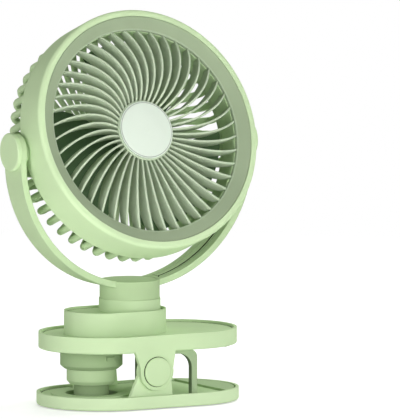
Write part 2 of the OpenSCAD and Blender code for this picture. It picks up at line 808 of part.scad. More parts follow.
// Cross-section of the front housing: outer wall, rounded front edge, web and duct
module housing_profile() {
    translate([head_r - head_wall, z_rear]) square([head_wall, head_len - lip_r]);
    intersection() {
        translate([head_r - lip_r, head_front - lip_r]) circle(lip_r, $fn = 48);
        translate([head_r - lip_r, head_front - lip_r]) square(lip_r);
    }
    translate([lip_in, head_front - lip_r]) square([head_r - lip_r - lip_in + eps, lip_r]);
    translate([duct_r, web_z - 2]) square([head_r - head_wall / 2 - duct_r, 2]);
    translate([duct_r, z_ring + shell_fit]) square([2, web_z - z_ring - shell_fit]);
}

module front_housing() {
    color("#c4dea9") in_head() difference() {
        union() {
            rotate_extrude($fn = 180) housing_profile();
            for (s = [-1, 1]) translate([s * (head_r - boss_len), -head_rise, 0]) rotate([0, 90 * s, 0])
                cylinder(r = boss_r, h = boss_len + boss_out);
            for (p = cage_screw_places) translate([p[0], p[1], z_ring])
                cylinder(r = cage_screw_r + 1.9, h = web_z - 1 - z_ring);
        }
        for (p = cage_screw_places) translate([p[0], p[1], z_rear])
            cylinder(r = cage_screw_r, h = cage_screw_len + 0.6);
        for (s = [-1, 1]) translate([s * (head_r - tilt_pin_in), -head_rise, 0]) rotate([0, 90 * s, 0])
            cylinder(r = tilt_pin_r, h = tilt_pin_in + 2);
    }
}

// One curved rib seen along the axis: an arc from the radius a to the radius b that sweeps by
// an angle and bows away from its chord, and is t0 thick at the radius a and t1 at the radius b
module swirl_rib(a, b, sweep, bow, t0, t1) {
    end = [b * cos(sweep), b * sin(sweep)];
    chord = norm(end - [a, 0]);
    r = (chord * chord / 4 + bow * bow) / (2 * bow);
    along = (end - [a, 0]) / chord;
    middle = (end + [a, 0]) / 2 + (r - bow) * [-along[1], along[0]];
    t = (t0 + t1) / 2;
    intersection() {
        difference() {
            translate(middle) circle(r + t / 2, $fn = 180);
            translate(middle - along * (t1 - t0) * r / chord) circle(r - t / 2, $fn = 180);
        }
        translate([a - 3, -b / 2]) square([b - a + 6, b]);
    }
}

// The vanes' axial extent: an arched front edge over a flat back edge, set in at the duct
module vane_profile() {
    difference() {
        intersection() {
            translate([hub_ring_r - 1, vane_back]) square([vane_chord + 2, vane_depth + vane_arch + 1]);
            translate([vane_mid_r, vane_front - 0.8 + vane_arch - arch_r]) circle(arch_r, $fn = 180);
        }
        translate([duct_r - shell_fit, vane_back - 1]) square([3, web_z + shell_fit - vane_back + 1]);
    }
}

module front_grille() {
    cone_out = lip_in - shell_fit;
    color("#aabd98") in_head() {
        intersection() {
            translate([0, 0, vane_back]) linear_extrude(vane_depth + vane_arch + 1)
                for (i = [0:vane_count - 1]) rotate([0, 0, i * 360 / vane_count])
                    swirl_rib(hub_ring_r - 1, mouth_r + 1, vane_sweep, vane_bow, vane_t, vane_t);
            rotate_extrude($fn = 180) vane_profile();
        }
        rotate_extrude($fn = 180) {
            polygon([
                [mouth_r, vane_front], [cone_out, head_front - 0.3], [cone_out, head_front - 2.6],
                [mouth_r + 2.4, vane_front - 2.2], [mouth_r + 2.4, web_z + 0.05], [mouth_r, web_z + 0.05]
            ]);
            translate([hub_ring_r - 3, vane_back]) square([3, vane_depth - 0.4]);
            translate([0, vane_back]) square([hub_ring_r - 2, 2]);
        }
    }
}

module hub_cap() {
    crown_r = (hub_r * hub_r + hub_crown * hub_crown) / (2 * hub_crown);
    color("#cfe0c4") in_head() {
        translate([0, 0, vane_back + 2]) cylinder(r = hub_ring_r - 3.3, h = hub_top - vane_back - 2);
        translate([0, 0, vane_front - 0.4]) cylinder(r = hub_r, h = hub_top - vane_front + 0.4);
        intersection() {
            translate([0, 0, hub_top + hub_crown - crown_r]) sphere(r = crown_r, $fn = 180);
            translate([0, 0, hub_top - eps]) cylinder(r = hub_r - 0.9, h = hub_crown + 1);
        }
    }
}

// Cross-section of the rear ribs: back from the ring, round the corner and in to the plate
module cage_profile() {
    r0 = cage_r - cage_corner;
    r1 = cage_r - rib_depth;
    z0 = cage_corner - cage_back;
    z1 = z_rear + 1;
    difference() {
        union() {
            translate([r0, z0]) circle(cage_corner, $fn = 64);
            translate([r0, z0]) square([cage_corner, z1 - z0]);
            polygon([
                [rear_plate_r - 1, plate_z], [r0, -cage_back], [r0 + 2, z0], [r0 + 2, z1],
                [rear_plate_r - 1, z1]
            ]);
        }
        polygon([
            [0, rib_depth + plate_z], [r1 - 4, rib_depth - cage_back], [r1, rib_depth + 4 - cage_back],
            [r1, z1 + 1], [0, z1 + 1]
        ]);
    }
}

module rear_cage() {
    color("#b3cd98") in_head() difference() {
        union() {
            intersection() {
                translate([0, 0, plate_z - 1]) linear_extrude(z_ring - plate_z)
                    for (i = [0:rib_count - 1]) rotate([0, 0, (i + 0.5) * 360 / rib_count]) mirror([0, 1])
                        swirl_rib(rear_plate_r - 2, cage_r + 1, rib_sweep, rib_bow, rib_root_t, rib_t);
                rotate_extrude($fn = 180) cage_profile();
            }
            translate([0, 0, z_rear]) difference() {
                cylinder(r = cage_r, h = ring_t, $fn = 180);
                translate([0, 0, -1]) cylinder(r = duct_r, h = ring_t + 2, $fn = 180);
                for (p = cage_screw_places) translate([p[0], p[1], -1])
                    cylinder(r = cage_screw_r + 0.3, h = ring_t + 2);
            }
            translate([0, 0, plate_z]) cylinder(r = rear_plate_r, h = 5);
            translate([0, 0, plate_z]) cylinder(r = motor_r + 2, h = 12);
        }
        translate([0, 0, motor_z]) cylinder(r = motor_r + run_fit, h = motor_len);
        for (s = [-1, 1]) translate([s * (head_r - boss_len - shell_fit), -head_rise, 0]) rotate([0, 90 * s, 0])
            cylinder(r = boss_r + shell_fit, h = boss_len + 2);
    }
}

// A domed cap behind the motor
module rear_cap() {
    color("#c4dea9") in_head() translate([0, 0, plate_z - 3]) difference() {
        rotate_extrude() edge_profile(rear_plate_r - 1, 3, 1.5);
        translate([0, 0, 1.6]) cylinder(r = rear_plate_r - 3, h = 3);
    }
}

module motor() {
    color("#9ea3a8") in_head() translate([0, 0, motor_z]) difference() {
        cylinder(r = motor_r, h = motor_len);
        translate([0, 0, 3]) cylinder(r = shaft_r + run_fit, h = motor_len);
    }
}

module motor_shaft() {
    z0 = motor_z + 3.3;
    color("#c3c7cb") in_head() translate([0, 0, z0]) cylinder(r = shaft_r, h = hub_front - z0 - 1);
}

module cage_screws() {
    color("#8f9499") in_head() for (p = cage_screw_places) translate([p[0], p[1], z_rear - cage_head_t]) {
        cylinder(r = cage_head_r, h = cage_head_t);
        translate([0, 0, cage_head_t - eps]) cylinder(r = cage_screw_r, h = cage_screw_len);
    }
}

// Impeller: a cup hub over the motor and broad pitched blades
blade_r = duct_r - tip_gap;
hub_front = vane_back - 3.5;
hub_rear = motor_z + motor_len - 5;
blade_mid = (vane_back - 2.2 - cage_back + rib_depth + 4) / 2;
blade_steps = 10;
blade_rows = 8;
// A point of a blade: u runs from the hub to the tip, v from the leading to the trailing edge
function blade_width(u) = blade_angle * (0.82 + 0.18 * sin(90 * u)) * sqrt(1 - 0.25 * pow(u, 6));
function blade_point(u, v, side) = let (
    r = impeller_hub_r - 1.5 + (blade_r - impeller_hub_r + 1.5) * u,
    a = blade_width(u) * (v - 0.5) + 14 * u * u,
    z = blade_mid + blade_h * (v - 0.5) * (0.62 + 0.38 * u) + 2.6 * sin(180 * v) * (1 - 0.4 * u)
) [r * cos(a), r * sin(a), z + side * blade_t / 2];

module blade() {
    n = blade_steps + 1;
    m = blade_rows + 1;
    points = [for (s = [-1, 1], i = [0:blade_rows], j = [0:blade_steps])
        blade_point(i / blade_rows, j / blade_steps, s)];
    faces = [for (s = [0, 1], i = [0:blade_rows - 1], j = [0:blade_steps - 1], k = [0, 1])
        let (a = s * n * m + i * n + j, q = k == 0 ? [a, a + 1, a + n] : [a + 1, a + n + 1, a + n])
        s == 0 ? [q[2], q[1], q[0]] : q];
    rim = concat([for (j = [0:blade_steps]) j], [for (i = [1:blade_rows]) i * n + blade_steps],
        [for (j = [1:blade_steps]) blade_rows * n + blade_steps - j],
        [for (i = [1:blade_rows - 1]) (blade_rows - i) * n]);
    walls = [for (i = [0:len(rim) - 1], k = [0, 1]) let (a = rim[i], b = rim[(i + 1) % len(rim)])
        k == 0 ? [a, b, a + n * m] : [b, b + n * m, a + n * m]];
    polyhedron(points, concat(faces, walls));
}

module impeller() {
    hub_wall = 2;
    color("#c9d8bd") in_head() {
        for (i = [0:blade_count - 1]) rotate([0, 0, 67 + i * 360 / blade_count]) blade();
        difference() {
            union() {
                difference() {
                    translate([0, 0, hub_rear]) cylinder(r = impeller_hub_r, h = hub_front - hub_rear);
                    translate([0, 0, hub_rear - 1])
                        cylinder(r = impeller_hub_r - hub_wall, h = hub_front - hub_rear + 1 - hub_wall);
                }
                translate([0, 0, hub_rear + 5.5]) cylinder(r = shaft_r + 3, h = hub_front - hub_rear - 6);
            }
            translate([0, 0, hub_rear]) cylinder(r = shaft_r, h = hub_front - hub_rear - 1);
        }
    }
}

lower_jaw();
lower_deck();
foot_pad();
lower_grip();
lower_sleeve();
clip_spring();
hinge_pin();
hinge_spacer();
deck_screws();
middle_sleeve();
upper_jaw();
upper_sleeve();
upper_grip();
stop_arms();
pin_caps();
jaw_screws();
battery_housing();
housing_lid();
battery_cells();
control_board();
charge_port();
power_button();
swivel_nut();
neck();
yoke();
yoke_strips();
neck_cover();
knobs();
tilt_washers();
tilt_pins();
front_housing();
front_grille();
hub_cap();
rear_cage();
rear_cap();
motor();
cage_screws();
impeller();
motor_shaft();
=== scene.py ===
import bmesh
import bpy
import math
from mathutils import Matrix, Vector


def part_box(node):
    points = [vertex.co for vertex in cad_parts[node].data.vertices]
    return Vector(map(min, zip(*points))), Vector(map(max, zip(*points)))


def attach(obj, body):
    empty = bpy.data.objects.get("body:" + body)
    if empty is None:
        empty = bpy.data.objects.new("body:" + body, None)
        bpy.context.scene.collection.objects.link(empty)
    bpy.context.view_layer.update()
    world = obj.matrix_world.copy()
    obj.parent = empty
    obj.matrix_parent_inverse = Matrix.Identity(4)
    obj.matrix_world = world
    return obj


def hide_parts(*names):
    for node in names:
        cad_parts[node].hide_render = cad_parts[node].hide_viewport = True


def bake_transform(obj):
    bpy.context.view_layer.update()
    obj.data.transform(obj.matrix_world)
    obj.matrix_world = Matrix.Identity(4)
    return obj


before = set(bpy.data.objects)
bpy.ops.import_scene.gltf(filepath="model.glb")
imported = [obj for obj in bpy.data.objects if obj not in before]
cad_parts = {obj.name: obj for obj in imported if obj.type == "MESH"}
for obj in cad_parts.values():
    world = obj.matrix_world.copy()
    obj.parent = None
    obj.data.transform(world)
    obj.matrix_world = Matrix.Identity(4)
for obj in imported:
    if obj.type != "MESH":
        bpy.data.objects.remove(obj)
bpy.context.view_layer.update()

# Lower jaw: a stadium-shaped tray with two ears, injection moulded in pale green ABS, and the
# panel that four screws hold in it. The mould is spark eroded, so the plastic is evenly matt.


def linear(code):
    """An sRGB hex colour as linear RGBA."""
    parts = [int(code[i:i + 2], 16) / 255 for i in (1, 3, 5)]
    return [c / 12.92 if c <= 0.04045 else ((c + 0.055) / 1.055) ** 2.4 for c in parts] + [1]


def add(tree, kind, settings=(), links=()):
    """Adds a node. settings are its properties and unlinked inputs, links its linked inputs."""
    node = tree.nodes.new("ShaderNode" + kind)
    for key, value in dict(settings).items():
        if isinstance(key, str) and hasattr(node, key):
            setattr(node, key, value)
        else:
            node.inputs[key].default_value = value
    for key, source in dict(links).items():
        tree.links.new(node.inputs[key], source)
    return node


def finish_of(name, code, rough, deep=0.95, drift=25.0, **sockets):
    """A material whose colour drifts down to the share deep over 1 / drift metres."""
    material = bpy.data.materials.new(name)
    material.use_nodes = True
    tree = material.node_tree
    shader = tree.nodes["Principled BSDF"]
    place = add(tree, "TexCoord").outputs["Object"]
    flow = add(tree, "TexNoise", {"Scale": drift, "Detail": 2.0, "Roughness": 0.4}, {"Vector": place})
    tone = add(tree, "ValToRGB", {}, {"Fac": flow.outputs["Fac"]})
    base = linear(code)
    for stop, at, share in zip(tone.color_ramp.elements, (0.35, 0.65), (deep, 1)):
        stop.position = at
        stop.color = [c * share for c in base[:3]] + [1]
    tree.links.new(shader.inputs["Base Color"], tone.outputs["Color"])
    shader.inputs["Roughness"].default_value = rough
    for socket, value in sockets.items():
        shader.inputs[socket.replace("_", " ")].default_value = value
    return material, tree, shader, place


def moulded_abs(name, code, rough=0.65, edge=0.6, relief=0.12, gloss=0.0):
    """ABS from a spark-eroded mould: faint flow marks some 40 mm long, a fine grain, corners
    rounded to edge millimetres and no gloss unless it is given."""
    material, tree, shader, place = finish_of(name, code, rough, IOR=1.53, Specular_IOR_Level=gloss)
    # the real grain is 0.1 mm and wouldn't show, so it is drawn 0.9 mm wide
    grain = add(tree, "TexNoise", {"Scale": 1100.0, "Detail": 2.0}, {"Vector": place})
    sheen = add(tree, "MapRange", {"To Min": rough - 0.05, "To Max": rough + 0.07},
                {"Value": grain.outputs["Fac"]})
    tree.links.new(shader.inputs["Roughness"], sheen.outputs["Result"])
    corner = add(tree, "Bevel", {"samples": 6, "Radius": edge / 1000})
    bump = add(tree, "Bump", {"Strength": relief, "Distance": 0.0002},
               {"Height": grain.outputs["Fac"], "Normal": corner.outputs["Normal"]})
    tree.links.new(shader.inputs["Normal"], bump.outputs["Normal"])
    return material


def wear(material, *names):
    """Gives carried-over CAD pieces their finish."""
    for name in names:
        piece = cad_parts[name]
        piece.data.materials.clear()
        piece.data.materials.append(material)


# the lower jaw is drawn paler than the upper one, as painted light that makes up for the dimmer light
# near the floor
wear(moulded_abs("lit_base_green_abs", "#D8EEC2"), "lower_jaw")


def paint_shade(material, share, mask):
    """Paints shade: lets a material's colour fall to share of itself where the mask is 1."""
    tree = material.node_tree
    colour = tree.nodes["Principled BSDF"].inputs["Base Color"]
    level = add(tree, "MapRange", {"To Min": 1.0, "To Max": share}, {"Value": mask})
    shade = add(tree, "VectorMath", {"operation": "SCALE"},
                {0: colour.links[0].from_socket, "Scale": level.outputs["Result"]})
    tree.links.new(colour, shade.outputs["Vector"])


def paint_gap_shade(material, node, gap):
    """Paints the shade of the gap between a stadium-shaped panel and the rim round it, as a dark line gap
    metres wide.
    """
    tree = material.node_tree
    lo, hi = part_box(node)
    end_r = (hi[1] - lo[1]) / 2
    axes = add(tree, "SeparateXYZ", {}, {0: add(tree, "TexCoord").outputs["Object"]})
    side = add(tree, "Math", {"operation": "SUBTRACT", 1: (lo[0] + hi[0]) / 2},
               {0: axes.outputs["X"]})
    away = add(tree, "Math", {"operation": "ABSOLUTE"}, {0: side.outputs["Value"]})
    past = add(tree, "Math", {"operation": "SUBTRACT", 1: (hi[0] - lo[0]) / 2 - end_r},
               {0: away.outputs["Value"]})
    end = add(tree, "Math", {"operation": "MAXIMUM", 1: 0.0}, {0: past.outputs["Value"]})
    flat = add(tree, "CombineXYZ", {}, {"X": end.outputs["Value"], "Y": axes.outputs["Y"]})
    reach = add(tree, "VectorMath", {"operation": "LENGTH"}, {0: flat.outputs["Vector"]})
    mask = add(tree, "Math", {"operation": "GREATER_THAN", 1: end_r - gap},
               {0: reach.outputs["Value"]})
    paint_shade(material, 0.25, mask.outputs["Value"])


panel_abs = moulded_abs("panel_green_abs", "#CBE2B5")
deck_abs = moulded_abs("deck_green_abs", "#CBE2B5")
# painted shade: a dark line round the deck, where it meets the rim
paint_gap_shade(deck_abs, "lower_deck", gap=0.0012)
wear(deck_abs, "lower_deck")

# Foot and grips: soft thermoplastic rubber, overmoulded on the jaws. The foot has two rows of
# grip slots, the grips sit at the mouth. A fine leather grain keeps them dull.
soft_rubber, tree, shader, place = finish_of("soft_green_rubber", "#A9C192", 0.85, IOR=1.5,
                                             Specular_IOR_Level=0.05)
# leather grain of 0.6 mm cells
cells = add(tree, "TexVoronoi", {"Scale": 1600.0}, {"Vector": place})
bump = add(tree, "Bump", {"Strength": 0.35, "Distance": 0.0002},
           {"Height": cells.outputs["Distance"]})
tree.links.new(shader.inputs["Normal"], bump.outputs["Normal"])
wear(soft_rubber, "foot_pad", "lower_grip")

# Sleeves: three nested tubes moulded in ABS, which telescope round the spring when the handles
# close. The upper and the lower one stand in the jaws' shade and are drawn darker.
sleeve_abs = moulded_abs("shaded_lower_sleeve_green_abs", "#98AF84")
wear(sleeve_abs, "lower_sleeve")
wear(moulded_abs("middle_sleeve_abs", "#C1D8AB"), "middle_sleeve")
wear(moulded_abs("shaded_sleeve_abs", "#A4BB90"), "upper_sleeve")

# Spring: 1.8 mm spring wire in seven turns, wound cold, with closed ends that stand on the floor
# of the lower jaw and under the upper one. It is zinc plated.


def box_of(node):
    """A CAD node's lowest and highest corner in millimetres."""
    return [[c * 1000 for c in corner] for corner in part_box(node)]


def made(name, mesh, materials, body, *nodes):
    """Turns a bmesh in millimetres into a piece that replaces the CAD nodes, on a body if given."""
    bmesh.ops.scale(mesh, verts=mesh.verts, vec=(0.001, 0.001, 0.001))
    data = bpy.data.meshes.new(name)
    mesh.to_mesh(data)
    mesh.free()
    for material in materials:
        data.materials.append(material)
    piece = bpy.data.objects.new(name, data)
    bpy.context.scene.collection.objects.link(piece)
    if body:
        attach(piece, body)
    if nodes:
        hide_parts(*nodes)
    return piece


def metal(name, code, rough, speck=0.04, grit=2500.0):
    """Bare or plated metal whose roughness varies over grains of 1 / grit metres."""
    material, tree, shader, place = finish_of(name, code, rough, deep=0.9, drift=60.0, Metallic=1.0)
    grain = add(tree, "TexNoise", {"Scale": grit, "Detail": 3.0}, {"Vector": place})
    sheen = add(tree, "MapRange", {"To Min": rough - speck, "To Max": rough + speck},
                {"Value": grain.outputs["Fac"]})
    tree.links.new(shader.inputs["Roughness"], sheen.outputs["Result"])
    corner = add(tree, "Bevel", {"samples": 4, "Radius": 0.0002})
    tree.links.new(shader.inputs["Normal"], corner.outputs["Normal"])
    return material


# zinc plating is bright, but a little cloudy
zinc = metal("zinc_plated_steel", "#C2C6C4", 0.34)
lo, hi = box_of("clip_spring")
wire_r, coil_r, turns, steps = 0.9, 9.0, 7, 36
spring_x = (lo[0] + hi[0]) / 2
foot, head = lo[2] + wire_r, hi[2] - wire_r
closed = 2 * wire_r + 0.5
open_pitch = (head - foot - 2 * closed) / (turns - 2)
mesh = bmesh.new()
bmesh.ops.create_circle(mesh, cap_ends=False, segments=12, radius=wire_r)
bmesh.ops.rotate(mesh, verts=mesh.verts, matrix=Matrix.Rotation(math.pi / 2, 3, "X"))
bmesh.ops.translate(mesh, verts=mesh.verts, vec=(spring_x + coil_r, 0, foot))
end = mesh.verts[:] + mesh.edges[:]
for count, pitch in ((1, closed), (turns - 2, open_pitch), (1, closed)):
    spun = bmesh.ops.spin(mesh, geom=end, cent=(spring_x, 0, 0), axis=(0, 0, 1),
                          steps=steps * count, angle=2 * math.pi * count,
                          dvec=(0, 0, pitch / steps))
    end = spun["geom_last"]
bmesh.ops.holes_fill(mesh, edges=mesh.edges, sides=0)
bmesh.ops.recalc_face_normals(mesh, faces=mesh.faces)
for face in mesh.faces:
    face.smooth = len(face.verts) == 4
spring = made("spring_wire", mesh, [zinc], None, "clip_spring")
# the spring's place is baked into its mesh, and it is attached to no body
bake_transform(spring)

# Hinge: two short pins of zinc-plated steel, one pressed through each pair of ears, and round
# each a flanged barrel moulded in ABS, which keeps the ears apart.
wear(zinc, "hinge_pin")
# the barrels wear the lower sleeve's green, which is darkened as painted shade
wear(sleeve_abs, "hinge_spacer")

# Screws of the clip: pan-head tapping screws with a cross recess, rolled from steel wire and
# zinc plated. Four hold each deck from below.


def solids_of(node, place=Matrix()):
    """The box of each separate solid of a CAD node, in millimetres, after place is undone."""
    shell = bmesh.new()
    shell.from_mesh(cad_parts[node].data)
    bmesh.ops.remove_doubles(shell, verts=shell.verts, dist=1e-6)
    left, found = set(shell.verts), []
    for start in shell.verts:
        if start not in left:
            continue
        left.discard(start)
        group = [start]
        for corner in group:
            for edge in corner.link_edges:
                other = edge.other_vert(corner)
                if other in left:
                    left.discard(other)
                    group.append(other)
        corners = [place.inverted() @ (corner.co * 1000) for corner in group]
        found.append([[pick(c[i] for c in corners) for i in range(3)] for pick in (min, max)])
    shell.free()
    return sorted(found)


def turned(mesh, outline, sides, place=Matrix(), smooth=40, slot=0):
    """Spins an outline of (radius, height) points round the axis into mesh."""
    part = bmesh.new()
    points = [part.verts.new((r, 0, z)) for r, z in outline]
    for a, b in zip(points, points[1:]):
        part.edges.new((a, b))
    bmesh.ops.spin(part, geom=part.verts[:] + part.edges[:], axis=(0, 0, 1), steps=sides,
                   angle=2 * math.pi, use_merge=True)
    bmesh.ops.remove_doubles(part, verts=part.verts, dist=1e-4)
    joined(mesh, part, place, smooth, slot)


def joined(mesh, part, place=Matrix(), smooth=40, slot=0):
    """Adds part to mesh at place, with its normals outwards and its soft edges smooth."""
    bmesh.ops.recalc_face_normals(part, faces=part.faces)
    for face in part.faces:
        face.smooth = True
        face.material_index = slot
    for edge in part.edges:
        edge.smooth = edge.is_manifold and edge.calc_face_angle(0) < math.radians(smooth)
    bmesh.ops.transform(part, matrix=place, verts=part.verts)
    data = bpy.data.meshes.new("part")
    part.to_mesh(data)
    part.free()
    mesh.from_mesh(data)
    bpy.data.meshes.remove(data)


def pan_screw(mesh, place, head_r, head_t, shank_r, length):
    """A screw whose head's top is at z = 0 and whose shank points up."""
    flat_r, core_r = head_r * 0.62, shank_r * 0.8
    turned(mesh, [(flat_r, 0), (head_r * 0.86, head_t * 0.12), (head_r, head_t * 0.55),
                  (head_r, head_t), (core_r, head_t), (core_r, length - shank_r), (0, length)],
           24, place)
    # the recess: a cross in the head's flat, pressed in and drawn together
    flat = bmesh.new()
    bmesh.ops.create_circle(flat, cap_ends=True, segments=24, radius=flat_r)
    wing, reach, depth, drawn = head_r * 0.11, head_r * 0.46, head_t * 0.7, 0.7
    for axis in ((1, 0, 0), (0, 1, 0)):
        for at in (-reach, -wing, wing, reach):
            bmesh.ops.bisect_plane(flat, geom=flat.verts[:] + flat.edges[:] + flat.faces[:],
                                   plane_co=Vector(axis) * at, plane_no=axis)
    cross = [face for face in flat.faces
             if min(abs(c) for c in face.calc_center_median()[:2]) < wing
             and max(abs(c) for c in face.calc_center_median()[:2]) < reach]
    deep = bmesh.ops.extrude_face_region(flat, geom=cross)["geom"]
    bmesh.ops.delete(flat, geom=cross, context="FACES")
    low = [v for v in deep if isinstance(v, bmesh.types.BMVert)]
    bmesh.ops.translate(flat, verts=low, vec=(0, 0, depth))
    bmesh.ops.scale(flat, verts=low, vec=(drawn, drawn, 1))
    joined(mesh, flat, place, 20)
    # the thread: a ridge wound round the shank
    ridge = bmesh.new()
    root_r, pitch, around, free = shank_r * 0.75, shank_r * 0.75, 12, 0.3
    start, half = head_t + free, pitch * 0.3
    corners = [ridge.verts.new(point) for point in ((root_r, 0, start - half), (shank_r, 0, start),
                                                    (root_r, 0, start + half))]
    ridge.faces.new(corners)
    rounds = int((length - shank_r - head_t - 2 * free) / pitch)
    bmesh.ops.spin(ridge, geom=ridge.verts[:] + ridge.edges[:] + ridge.faces[:], axis=(0, 0, 1),
                   steps=around * rounds, angle=2 * math.pi * rounds, dvec=(0, 0, pitch / around))
    joined(mesh, ridge, place, 20)


for name, node, body in (("deck_screw_set", "deck_screws", "base"),
                         ("jaw_screw_set", "jaw_screws", "clamp")):
    mesh = bmesh.new()
    for lo, hi in solids_of(node):
        place = Matrix.Translation(((lo[0] + hi[0]) / 2, (lo[1] + hi[1]) / 2, lo[2]))
        pan_screw(mesh, place, head_r=(hi[0] - lo[0]) / 2, head_t=1.5, shank_r=1.2,
                  length=hi[2] - lo[2])
    made(name, mesh, [zinc], body, node)

# Upper jaw: the same tray turned over, with its own ears and two bent stop arms that hold the
# mouth open by resting on the lower deck. All are pale green ABS mouldings.
leaf_abs = moulded_abs("leaf_green_abs", "#CFE7B8")
wear(leaf_abs, "upper_jaw")
# the arms' green is drawn darker than the jaws' as painted shade under the upper jaw
shaded_arm_abs = moulded_abs("shaded_arm_green_abs", "#A9BF96", edge=0.9)
# the arms' inner sides and undersides lie in the jaws' shade and are drawn darker
tree = shaded_arm_abs.node_tree
axes = add(tree, "SeparateXYZ", {}, {0: add(tree, "TexCoord").outputs["Normal"]})
inner = add(tree, "Math", {"operation": "MINIMUM"}, {0: axes.outputs["X"], 1: axes.outputs["Z"]})
mask = add(tree, "MapRange", {"From Min": -0.3, "From Max": -0.5}, {"Value": inner.outputs["Value"]})
paint_shade(shaded_arm_abs, 0.45, mask.outputs["Result"])
wear(shaded_arm_abs, "stop_arms")

# Upper grip: the soft pad at the mouth, drawn half as thick as its CAD node, because it doesn't
# show under the jaw's rim.
grip = bmesh.new()
grip.from_mesh(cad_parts["upper_grip"].data)
bmesh.ops.remove_doubles(grip, verts=grip.verts, dist=1e-6)
bmesh.ops.scale(grip, verts=grip.verts, vec=(1, 1, 0.5),
                space=Matrix.Translation((0, 0, -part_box("upper_grip")[1][2])))
mesh = bmesh.new()
joined(mesh, grip, Matrix.Scale(1000, 4), 30)
made("upper_grip_pad", mesh, [soft_rubber], "clamp", "upper_grip")

# Pin caps: two slightly domed round covers, moulded in ABS and pressed over the pins' ends. A
# thin dark gap runs round each, where it stands in its ear.
lo, hi = box_of("pin_caps")
cap_r, cap_t = (hi[0] - lo[0]) / 2, 2.4
# the same plastic, so dark because hardly any light falls into the gap
gap_abs = moulded_abs("shaded_gap_abs", "#26331C", edge=0.1)
mesh = bmesh.new()
for side in (-1, 1):
    place = (Matrix.Translation(((lo[0] + hi[0]) / 2, side * (hi[1] - cap_t), (lo[2] + hi[2]) / 2)) @
             Matrix.Rotation(-side * math.pi / 2, 4, "X"))
    turned(mesh, [(0, cap_t), (cap_r * 0.5, cap_t - 0.03), (cap_r - 1.6, cap_t - 0.12),
                  (cap_r - 0.7, cap_t - 0.4), (cap_r - 0.15, cap_t - 1), (cap_r - 0.1, 0.6),
                  (cap_r - 0.4, 0.1), (0, 0.1)], 96, place)
    # the gap's shade, painted as a low dark ring round the cap's foot
    turned(mesh, [(cap_r - 0.6, 0.16), (cap_r + 0.3, 0.14), (cap_r + 0.35, 0.02), (cap_r - 0.6, 0)],
           96, place, slot=1)
made("cap_pair", mesh, [leaf_abs, gap_abs], "clamp", "pin_caps")

# Battery housing: the deck of the upper jaw and the raised platform in one moulding, a lid with
# the collar on it, and the power button in the back wall.
platform_abs = moulded_abs("platform_green_abs", "#CBE2B5")
wear(platform_abs, "battery_housing")
# painted shade: a dark line round the platform, where it meets the rim
paint_gap_shade(platform_abs, "battery_housing", gap=0.001)
lid_abs = moulded_abs("lid_green_abs", "#C6DDB0", edge=0.2)
# painted shade: a dark line round the lid, where it meets the collar's rim
paint_gap_shade(lid_abs, "housing_lid", gap=0.0008)
wear(lid_abs, "housing_lid")
# the button's mould is finer, so it shines a little
button_abs = moulded_abs("button_green_abs", "#DCEECB", rough=0.45, gloss=0.4)
wear(button_abs, "power_button")

# Cells: two steel cans of 18 by 50 mm in glossy shrink-wrapped PVC film, with a groove rolled
# under the shoulder, a button at the plus end and a bright nickel strip spot welded across each
# pair of ends.
film = finish_of("pvc_shrink_film", "#7FA8A0", 0.28, IOR=1.53, Coat_Weight=0.2)[0]
nickel = metal("nickel_strip", "#C9C6BC", 0.28)
mesh = bmesh.new()
along_x = Matrix.Rotation(math.pi / 2, 4, "Y")
cans = []
for lo, hi in solids_of("battery_cells"):
    foot = Vector((lo[0], (lo[1] + hi[1]) / 2, (lo[2] + hi[2]) / 2))
    r, length = (hi[1] - lo[1]) / 2, hi[0] - lo[0] - 1
    cans.append((foot, r, length))
    # the film covers the can's side and is drawn over the edge of both ends
    turned(mesh, [(r * 0.72, 0), (r - 0.8, 0), (r - 0.2, 0.2), (r, 0.8), (r, length - 5),
                  (r - 0.6, length - 4.3), (r - 0.6, length - 3.7), (r, length - 3),
                  (r, length - 0.8), (r - 0.2, length - 0.2), (r - 0.8, length),
                  (r * 0.72, length)], 48, Matrix.Translation(foot) @ along_x)
wrapped = len(mesh.faces)
button_h, strip_w, strip_t = 0.9, 6, 0.08
for foot, r, length in cans:
    place = Matrix.Translation(foot) @ along_x
    turned(mesh, [(r * 0.72, 0), (0, 0)], 48, place)
    turned(mesh, [(r * 0.72, length), (r * 0.34, length), (r * 0.3, length + 0.7),
                  (r * 0.26, length + button_h), (0, length + button_h)], 48, place)
front, behind = cans[0][0], cans[1][0]
for at in (-0.05, length + button_h):
    strip = bmesh.new()
    bmesh.ops.create_grid(strip, x_segments=1, y_segments=12, size=0.5)
    bmesh.ops.scale(strip, verts=strip.verts, vec=(strip_w, 2 * behind.y + 8, 1))
    bmesh.ops.solidify(strip, geom=strip.faces[:], thickness=strip_t)
    joined(mesh, strip, Matrix.Translation((front.x + at, 0, front.z)) @ along_x, 20)
mesh.faces.ensure_lookup_table()
for face in mesh.faces[wrapped:]:
    face.material_index = 1
made("wrapped_cells", mesh, [film, nickel], "clamp", "battery_cells")

# Control board: a glass-fibre board with a glossy green solder mask, standing on edge. It
# carries three chips in dull black epoxy, and small capacitors and resistors with bright tinned
# ends.
solder_mask = finish_of("solder_mask", "#2E6B48", 0.35, IOR=1.55, Coat_Weight=0.3)[0]
epoxy = finish_of("black_epoxy", "#23262A", 0.5, IOR=1.55)[0]
tin = metal("tinned_lead", "#CFCFCB", 0.3)


def block(mesh, lo, hi, bevel, slot):
    """A block between two corners with its edges bevelled."""
    part = bmesh.new()
    bmesh.ops.create_cube(part, size=1)
    bmesh.ops.scale(part, verts=part.verts, vec=[b - a for a, b in zip(lo, hi)])
    bmesh.ops.bevel(part, geom=part.edges[:], offset=bevel, segments=2, affect="EDGES", profile=0.5,
                    material=-1)
    joined(mesh, part, Matrix.Translation([(a + b) / 2 for a, b in zip(lo, hi)]), 40, slot)


lo, hi = box_of("control_board")
mesh = bmesh.new()
block(mesh, lo, hi, 0.15, 0)
inner = lo[1]
